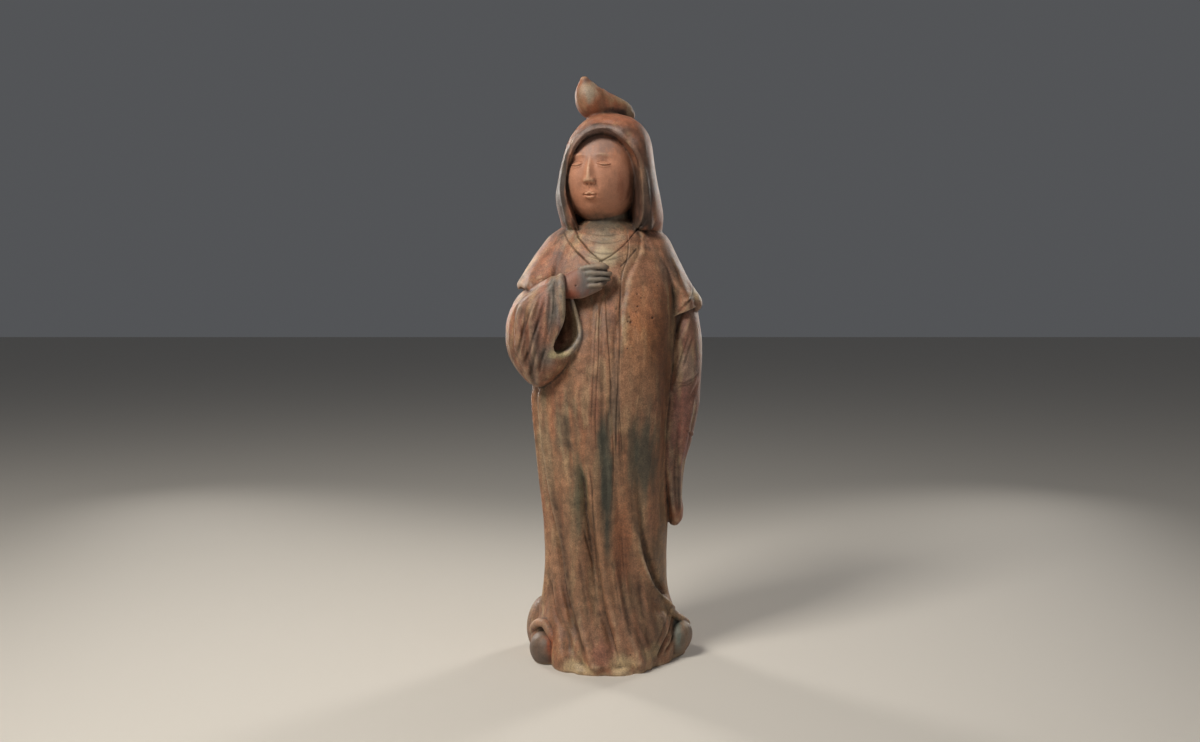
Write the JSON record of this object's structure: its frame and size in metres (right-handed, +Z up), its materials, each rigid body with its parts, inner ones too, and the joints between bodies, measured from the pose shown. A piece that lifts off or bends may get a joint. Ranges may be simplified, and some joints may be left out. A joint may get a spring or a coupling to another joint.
{
  "type": "resin woman figurine",
  "caption": "Standing woman in a hooded coat with long sagging sleeves, one hand on the breast: a painted resin casting that stands on its flat underside.",
  "frame": {"origin": "on the flat underside, below the axis of the standing body, midway between the two sides of the coat and slightly behind its front fold", "axes": "+Z up through the top knot, -Y towards the figure's front, +X towards the side of the hanging arm, which is the figure's left"},
  "size_m": [0.1008, 0.0829, 0.3],
  "materials": {
    "painted_resin": "cold-cast resin painted like old fired clay, with dull rose, ochre and grey-green washes and dark dirt in the folds"
  },
  "bodies": {
    "root": {"woman_figurine": "painted_resin"}
  },
  "joints": []
}
